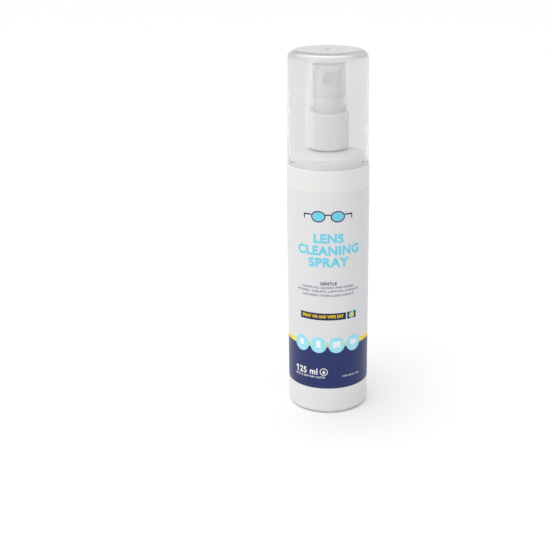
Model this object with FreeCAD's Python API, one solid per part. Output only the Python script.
import FreeCAD
import Part
import math
import os

# Lens cleaning spray: a blow-moulded bottle with a wrap-around label, a screwed-on
# fine-mist pump, a small clear hood over the pump's actuator and a large clear overcap.
# Millimetres, +Z up, origin at the centre of the base, spray nozzle towards -Y.

# Bottle
BODY_R = 19.5
BODY_TOP = 121.6          # ledge that the overcap's rim stands on
WALL = 1.0
BASE_CORNER = 2.2
FOOT_R = 15.6             # inner edge of the flat foot ring
PUSH_UP = 1.8             # hollow under the base
PLUG_R = 17.4             # shoulder wall that the overcap fits round
PLUG_BEAD_R = 17.7
NECK_R = 7.6
NECK_BORE_R = 6.4
NECK_ROOT = 128.5
NECK_RIM = 142.3

# Neck thread, the same pitch on the bottle and in the closure
PITCH = 3.175
BOTTLE_TURNS = 1.5
CLOSURE_TURNS = 1.25
BOTTLE_THREAD_Z = 133.2
CLOSURE_THREAD_Z = 131.75  # rides under the bottle's thread
THREAD_CREST_R = 8.45
CLOSURE_CREST_R = 7.85

# Label
LABEL_LOW = 13.4
LABEL_HIGH = 111.6
LABEL_IN_R = BODY_R + 0.02
LABEL_OUT_R = BODY_R + 0.15

# Screw closure
CLOSURE_R = 9.73
CLOSURE_IN_R = 8.65
RIB_ROOT_R = 9.5
RIBS = 72
CLOSURE_LOW = 129.0
CLOSURE_TOP = 145.8
CLOSURE_ROOF = 1.15
RIB_LOW = 131.0
RIB_HIGH = 144.2

# Stack on the neck rim: gasket, housing flange, collar web
GASKET_T = 0.9
FLANGE_T = 0.8
FLANGE_R = 7.5
COLLAR_WEB_T = 0.6
COLLAR_R = 7.45
COLLAR_BORE_R = 6.6
COLLAR_TOP = 152.9
HOUSING_NECK_R = 4.5

# Pump engine
STROKE = 4.5
CHAMBER_R = 3.0
CHAMBER_WALL = 0.8
CHAMBER_FLOOR = 120.2
SEAL_POCKET_R = 3.9
SEAL_T = 1.4
STEM_R = 1.7
STEM_BORE_R = 0.7
STEM_TOP = 157.3
STEM_LOW = 136.6
PLUG_TOP_Z = 134.5
PLUG_LOW_Z = 133.6
SPRING_R = 1.75           # to the middle of the wire
SPRING_WIRE_R = 0.25
SPRING_COILS = 8
BALL_R = 1.2
BALL_Z = 118.6
SEAT_LOW = 117.6
SEAT_R = 0.8
SEAT_TOP_R = 1.5
SEAT_TOP = 118.6
SOCKET_TOP = 116.6
SOCKET_LOW = 108.5
TUBE_R = 1.6
TUBE_BORE_R = 1.05
TUBE_LOW = 4.4
RUN = 0.02                # radial clearance of a running fit

# Actuator
ACT_LOW = 150.2
ACT_TOP = 165.1
ACT_LOW_R = 6.4
ACT_TOP_R = 6.1
NOZZLE_Z = 161.0
NOZZLE_R = 2.6
NOZZLE_FACE = 5.35        # distance of the nozzle's flat face from the axis
WELL_FLOOR = 2.9
SPIGOT_R = 1.6
SPIGOT_TIP = 4.4
LEAD_IN = 0.75            # widening of the well's mouth round the nozzle

# Clear caps
HOOD_LOW = 146.1
HOOD_TOP = 168.4
HOOD_LOW_R = 8.3
HOOD_TOP_R = 8.05
HOOD_BEAD_R = 8.7
CAP_LOW = 121.7
CAP_TOP = 173.9
CAP_LOW_R = 19.1
CAP_TOP_R = 18.6
CAP_WALL = 1.15
CAP_CORNER = 3.7
CAP_ROOF = 1.5

ORIGIN = FreeCAD.Vector(0, 0, 0)
UP = FreeCAD.Vector(0, 0, 1)
FRONT = FreeCAD.Vector(0, -1, 0)

FLANGE_LOW = NECK_RIM + GASKET_T
FLANGE_TOP = FLANGE_LOW + FLANGE_T
COLLAR_WEB_TOP = FLANGE_TOP + COLLAR_WEB_T


def outline(corners):
    """Closed wire in the XZ plane through corners (r, z) or (r, z, rounding radius)."""
    points = [FreeCAD.Vector(corner[0], 0, corner[1]) for corner in corners]
    bends = []
    for number, corner in enumerate(corners):
        here = points[number]
        if len(corner) < 3:
            bends.append((here, None, here))
            continue
        back = (points[number - 1] - here).normalize()
        ahead = (points[(number + 1) % len(points)] - here).normalize()
        half = back.getAngle(ahead) / 2
        inward = (back + ahead).normalize()
        reach = corner[2] / math.tan(half)
        middle = here + inward * (corner[2] / math.sin(half) - corner[2])
        bends.append((here + back * reach, middle, here + ahead * reach))
    edges = []
    for number, (start, middle, end) in enumerate(bends):
        left_off = bends[number - 1][2]
        if left_off.distanceToPoint(start) > 1e-4:
            edges.append(Part.makeLine(left_off, start))
        if middle is not None:
            edges.append(Part.Arc(start, middle, end).toShape())
    return Part.Wire(edges)


def turned(corners):
    """Solid of revolution about Z."""
    return Part.Face(outline(corners)).revolve(ORIGIN, UP, 360)


def ring(inner, outer, low, high, rounding=0):
    """Plain ring, with all four corners rounded if rounding is given."""
    corners = [(inner, low), (outer, low), (outer, high), (inner, high)]
    if rounding:
        corners = [(r, z, rounding) for r, z in corners]
    return turned(corners)


def rod(radius, low, high):
    """Round bar along Z, on the axis."""
    return Part.makeCylinder(radius, high - low, FreeCAD.Vector(0, 0, low), UP)


def forward_rod(radius, near, far, height):
    """Round bar that runs forwards, towards -Y, between two distances from the axis."""
    return Part.makeCylinder(radius, far - near, FreeCAD.Vector(0, -near, height), FRONT)


def thread(root_r, crest_r, first_z, turns, root_width, crest_width):
    """Right-hand thread ridge, swept along a helix."""
    path = Part.makeHelix(PITCH, PITCH * turns, root_r)
    path.translate(FreeCAD.Vector(0, 0, first_z))
    ridge = outline([
        (root_r, first_z - root_width / 2),
        (crest_r, first_z - crest_width / 2),
        (crest_r, first_z + crest_width / 2),
        (root_r, first_z + root_width / 2),
    ])
    return Part.Wire(path.Edges).makePipeShell([ridge], True, True)


def bottle():
    """Blown HDPE bottle: hollow base, straight body, plug wall with a snap bead, threaded neck."""
    inside_r = BODY_R - WALL
    plug_in = PLUG_R - WALL
    shell = turned([
        (0, PUSH_UP),
        (FOOT_R - 1.4, 1.1, 0.6),
        (FOOT_R, 0, 0.4),
        (BODY_R, 0, BASE_CORNER),
        (BODY_R, BODY_TOP, 0.5),
        (PLUG_R, BODY_TOP, 0.3),
        (PLUG_R, 123.9, 0.2),
        (PLUG_BEAD_R, 124.2, 0.15),
        (PLUG_BEAD_R, 124.6, 0.15),
        (PLUG_R, 124.9, 0.2),
        (PLUG_R, 126.4, 1.3),
        (13.4, 127.75, 6.0),
        (NECK_R, NECK_ROOT, 0.5),
        (NECK_R, NECK_RIM, 0.3),
        (NECK_BORE_R, NECK_RIM, 0.3),
        (NECK_BORE_R, NECK_ROOT - 1.2, 0.8),
        (plug_in, 125.3, 1.0),
        (plug_in, 120.9, 0.3),
        (inside_r, 120.5, 0.3),
        (inside_r, 1.2, 1.5),
        (FOOT_R + 0.5, 1.2, 0.5),
        (FOOT_R - 1.0, 2.3, 0.6),
        (0, PUSH_UP + 1.2),
    ])
    ridge = thread(NECK_R - 0.3, THREAD_CREST_R, BOTTLE_THREAD_Z, BOTTLE_TURNS, 1.7, 0.6)
    return shell.fuse(ridge)


def label():
    """Film label wrapped once round the body."""
    return ring(LABEL_IN_R, LABEL_OUT_R, LABEL_LOW, LABEL_HIGH)


def ribbed_bar(low, high):
    """Bar whose outline is a row of small round ribs."""
    arcs = []
    step = 2 * math.pi / RIBS
    for number in range(RIBS):
        angles = [(number + part) * step for part in (0, 0.5, 1)]
        radii = [RIB_ROOT_R, CLOSURE_R, RIB_ROOT_R]
        points = [
            FreeCAD.Vector(r * math.cos(a), r * math.sin(a), low) for r, a in zip(radii, angles)
        ]
        arcs.append(Part.Arc(*points).toShape())
    return Part.Face(Part.Wire(arcs)).extrude(UP * (high - low))


def closure():
    """Screw closure: ribbed grip between two plain bands, open roof, thread inside."""
    low_band = turned([(0, CLOSURE_LOW), (CLOSURE_R, CLOSURE_LOW, 0.9), (CLOSURE_R, RIB_LOW), (0, RIB_LOW)])
    top_band = turned([(0, RIB_HIGH), (CLOSURE_R, RIB_HIGH), (CLOSURE_R, CLOSURE_TOP, 0.5), (0, CLOSURE_TOP)])
    outside = low_band.fuse([ribbed_bar(RIB_LOW, RIB_HIGH), top_band])
    hollow = turned([
        (0, CLOSURE_LOW - 1),
        (CLOSURE_IN_R, CLOSURE_LOW - 1),
        (CLOSURE_IN_R, CLOSURE_TOP - CLOSURE_ROOF, 0.3),
        (0, CLOSURE_TOP - CLOSURE_ROOF),
    ])
    hole = rod(COLLAR_R + 0.15, CLOSURE_TOP - 3, CLOSURE_TOP + 1)
    shell = outside.cut([hollow, hole])
    ridge = thread(CLOSURE_IN_R + 0.3, CLOSURE_CREST_R, CLOSURE_THREAD_Z, CLOSURE_TURNS, 1.3, 0.5)
    return shell.fuse(ridge)


def gasket():
    """Soft ring between the neck rim and the pump's flange."""
    return ring(HOUSING_NECK_R + 0.05, FLANGE_R, NECK_RIM, FLANGE_LOW, 0.15)


def pump_housing():
    """Pump body: flange, chamber, ball pocket with its conical seat, dip-tube socket, air vent."""
    outer_r = CHAMBER_R + CHAMBER_WALL
    body = turned([
        (SEAT_R, SOCKET_TOP),
        (SEAT_R, SEAT_LOW),
        (SEAT_TOP_R, SEAT_TOP),
        (SEAT_TOP_R, CHAMBER_FLOOR - 0.5),
        (1.05, CHAMBER_FLOOR - 0.25),
        (1.05, CHAMBER_FLOOR),
        (CHAMBER_R, CHAMBER_FLOOR),
        (CHAMBER_R, FLANGE_TOP - SEAL_T),
        (SEAL_POCKET_R, FLANGE_TOP - SEAL_T),
        (SEAL_POCKET_R, FLANGE_TOP),
        (FLANGE_R, FLANGE_TOP, 0.2),
        (FLANGE_R, FLANGE_LOW, 0.2),
        (HOUSING_NECK_R, FLANGE_LOW),
        (HOUSING_NECK_R, 139.5, 0.3),
        (outer_r, 138.8, 0.3),
        (outer_r, 119.6, 0.5),
        (2.7, 117.4, 0.5),
        (2.7, SOCKET_LOW, 0.3),
        (TUBE_R, SOCKET_LOW),
        (TUBE_R, SOCKET_TOP),
    ])
    vent = Part.makeCylinder(0.4, HOUSING_NECK_R + 1, FreeCAD.Vector(0, 0, 141.1), FreeCAD.Vector(1, 0, 0))
    return body.cut(vent)


def collar():
    """Turret collar: clips over the housing's flange, guides the actuator, carries the hood."""
    clip_in = FLANGE_R + 0.1
    return turned([
        (STEM_R + 0.4, FLANGE_TOP),
        (clip_in, FLANGE_TOP),
        (clip_in, FLANGE_LOW - 0.3),
        (8.3, FLANGE_LOW - 0.3, 0.2),
        (8.3, COLLAR_WEB_TOP, 0.2),
        (COLLAR_R, COLLAR_WEB_TOP),
        (COLLAR_R, CLOSURE_TOP + 0.15),
        (COLLAR_R + 0.3, CLOSURE_TOP + 0.3, 0.1),
        (COLLAR_R, CLOSURE_TOP + 0.7),
        (COLLAR_R, COLLAR_TOP, 0.25),
        (COLLAR_BORE_R, COLLAR_TOP, 0.25),
        (COLLAR_BORE_R, COLLAR_WEB_TOP, 0.3),
        (STEM_R + 0.4, COLLAR_WEB_TOP),
    ])


def stem_seal():
    """Rubber ring that the stem slides through, held in the housing's pocket."""
    return ring(STEM_R + RUN, SEAL_POCKET_R - 0.03, FLANGE_TOP - SEAL_T + 0.02, FLANGE_TOP - 0.02, 0.2)


def pump_stem():
    """Hollow stem with its stop shoulder and two cross ports that the piston uncovers."""
    shoulder_top = FLANGE_TOP - SEAL_T - 0.3
    body = turned([
        (0, STEM_LOW),
        (STEM_R, STEM_LOW),
        (STEM_R, shoulder_top - 1.0),
        (CHAMBER_R - 0.3, shoulder_top - 1.0, 0.2),
        (CHAMBER_R - 0.3, shoulder_top, 0.2),
        (STEM_R, shoulder_top),
        (STEM_R, STEM_TOP, 0.2),
        (0, STEM_TOP),
    ])
    bore = rod(STEM_BORE_R, STEM_LOW + 1.6, STEM_TOP + 1)
    ports = Part.makeCylinder(0.4, 8, FreeCAD.Vector(-4, 0, STEM_LOW + 2.0), FreeCAD.Vector(1, 0, 0))
    return body.cut([bore, ports])


def piston():
    """Sleeve piston with a sealing lip at each end."""
    lip_r = CHAMBER_R - RUN
    return turned([
        (STEM_R + RUN, PLUG_TOP_Z + 0.05),
        (2.35, PLUG_TOP_Z + 0.05),
        (lip_r, PLUG_TOP_Z + 0.25),
        (lip_r, PLUG_TOP_Z + 0.7),
        (2.45, PLUG_TOP_Z + 1.7, 0.3),
        (2.45, PLUG_TOP_Z + 4.4, 0.3),
        (lip_r, PLUG_TOP_Z + 5.3),
        (lip_r, PLUG_TOP_Z + 5.7),
        (2.4, PLUG_TOP_Z + 5.9),
        (STEM_R + RUN, PLUG_TOP_Z + 5.9),
    ])


def stem_plug():
    """Plug under the stem: valve face for the piston, and the spring's upper seat and guide."""
    return turned([
        (0, PLUG_LOW_Z - 3.0),
        (1.1, PLUG_LOW_Z - 3.0, 0.3),
        (1.1, PLUG_LOW_Z),
        (2.4, PLUG_LOW_Z, 0.1),
        (2.4, PLUG_TOP_Z, 0.1),
        (STEM_R - RUN, PLUG_TOP_Z),
        (STEM_R - RUN, STEM_LOW),
        (0, STEM_LOW),
    ])


def return_spring():
    """Steel compression spring between the chamber floor and the stem plug."""
    low = CHAMBER_FLOOR + SPRING_WIRE_R
    height = PLUG_LOW_Z - SPRING_WIRE_R - low
    path = Part.makeHelix(height / SPRING_COILS, height, SPRING_R)
    path.translate(FreeCAD.Vector(0, 0, low))
    start = FreeCAD.Vector(SPRING_R, 0, low)
    wire = Part.Wire(Part.makeCircle(SPRING_WIRE_R, start, FreeCAD.Vector(0, 1, 0)))
    return Part.Wire(path.Edges).makePipeShell([wire], True, True)


def inlet_ball():
    """Steel ball of the inlet valve."""
    return Part.makeSphere(BALL_R, FreeCAD.Vector(0, 0, BALL_Z))


def dip_tube():
    """Suction tube, cut aslant at its foot."""
    tube = ring(TUBE_BORE_R, TUBE_R, TUBE_LOW, SOCKET_TOP)
    knife = Part.makeBox(20, 20, 10, FreeCAD.Vector(-10, -10, -10))
    knife.rotate(ORIGIN, FreeCAD.Vector(1, 0, 0), 35)
    knife.translate(FreeCAD.Vector(0, 0, TUBE_LOW + TUBE_R * math.tan(math.radians(35))))
    return tube.cut(knife)


def actuator():
    """Finger button: skirt, stem socket, nozzle well with a wide mouth, feed, dished pad."""
    cavity_top = 158.6
    outside = turned([
        (0, ACT_LOW),
        (ACT_LOW_R, ACT_LOW, 0.2),
        (ACT_TOP_R, ACT_TOP, 0.45),
        (0, ACT_TOP),
    ])
    cavity = turned([(3.0, ACT_LOW - 1), (5.35, ACT_LOW - 1), (5.2, cavity_top, 0.3), (3.0, cavity_top, 0.3)])
    under_post = rod(3.1, ACT_LOW - 1, ACT_LOW + 0.8)
    socket = rod(STEM_R + RUN, ACT_LOW - 1, STEM_TOP + 0.1)
    riser = rod(0.6, STEM_TOP - 1, NOZZLE_Z + 1.9)
    feed = forward_rod(0.45, 0, WELL_FLOOR + 0.5, NOZZLE_Z + 2.05)
    well = forward_rod(NOZZLE_R + RUN, WELL_FLOOR, 8, NOZZLE_Z)
    spigot = forward_rod(SPIGOT_R, WELL_FLOOR - 0.1, SPIGOT_TIP, NOZZLE_Z)
    mouth = Part.makeCone(
        NOZZLE_R + RUN, NOZZLE_R + RUN + LEAD_IN, LEAD_IN * 1.4,
        FreeCAD.Vector(0, -NOZZLE_FACE, NOZZLE_Z), FreeCAD.Vector(0, -1, 0),
    )
    dish_depth = 0.9
    dish_r = 5.1
    ball_r = (dish_r ** 2 + dish_depth ** 2) / (2 * dish_depth)
    dish = Part.makeSphere(ball_r, FreeCAD.Vector(0, 0, ACT_TOP - dish_depth + ball_r))
    return outside.cut([cavity, under_post, socket, riser, feed, well.cut(spigot), mouth, dish])


def nozzle_insert():
    """Spray nozzle cup pressed into the actuator's well, with a countersunk orifice."""
    back = WELL_FLOOR + 0.3
    cup = turned([
        (0.2, NOZZLE_FACE - 0.8),
        (SPIGOT_R + 0.15, NOZZLE_FACE - 0.8),
        (SPIGOT_R + 0.15, back),
        (NOZZLE_R, back, 0.15),
        (NOZZLE_R, NOZZLE_FACE, 0.15),
        (0.75, NOZZLE_FACE),
        (0.2, NOZZLE_FACE - 0.45),
    ])
    cup.rotate(ORIGIN, FreeCAD.Vector(1, 0, 0), 90)
    cup.translate(FreeCAD.Vector(0, 0, NOZZLE_Z))
    return cup


def actuator_hood():
    """Clear thimble-shaped hood over the actuator, with a grip bead at its rim."""
    return turned([
        (0, HOOD_TOP - 0.9),
        (7.2, HOOD_TOP - 0.9, 0.5),
        (7.3, 154.0),
        (7.58, 153.4),
        (7.6, 147.2),
        (7.9, 146.9),
        (7.9, HOOD_LOW),
        (8.45, HOOD_LOW, 0.25),
        (HOOD_BEAD_R, 146.7, 0.3),
        (HOOD_BEAD_R, 147.9, 0.4),
        (HOOD_LOW_R, 148.5, 0.3),
        (HOOD_TOP_R, HOOD_TOP, 0.7),
        (0.7, HOOD_TOP),
        (0.5, HOOD_TOP - 0.2),
        (0, HOOD_TOP - 0.2),
    ])


def overcap():
    """Clear overcap: tapered cup with rounded top corner, moulding gate mark and snap bead."""
    roof = CAP_TOP - CAP_ROOF
    rim_in = CAP_LOW_R - CAP_WALL
    return turned([
        (0, roof),
        (CAP_TOP_R - CAP_WALL, roof, CAP_CORNER - CAP_WALL),
        (rim_in - 0.03, 124.0),
        (17.78, 123.3, 0.2),
        (17.78, 122.9, 0.2),
        (rim_in, 122.5),
        (rim_in, CAP_LOW, 0.2),
        (CAP_LOW_R, CAP_LOW, 0.25),
        (CAP_TOP_R, CAP_TOP, CAP_CORNER),
        (1.3, CAP_TOP, 0.1),
        (1.2, CAP_TOP - 0.3),
        (0.6, CAP_TOP - 0.3),
        (0.5, CAP_TOP - 0.1),
        (0, CAP_TOP - 0.1),
    ])


PARTS = {
    "bottle": bottle,
    "label": label,
    "closure": closure,
    "neck_gasket": gasket,
    "pump_housing": pump_housing,
    "turret_collar": collar,
    "stem_seal": stem_seal,
    "pump_stem": pump_stem,
    "piston": piston,
    "stem_plug": stem_plug,
    "return_spring": return_spring,
    "inlet_ball": inlet_ball,
    "dip_tube": dip_tube,
    "actuator": actuator,
    "nozzle_insert": nozzle_insert,
    "actuator_hood": actuator_hood,
    "overcap": overcap,
}

os.makedirs("parts", exist_ok=True)
for name, make in PARTS.items():
    shape = make()
    print(name, shape.isValid(), len(shape.Solids), "solid,", round(shape.Volume, 2), "mm3")
    shape.exportStep("parts/" + name + ".step")
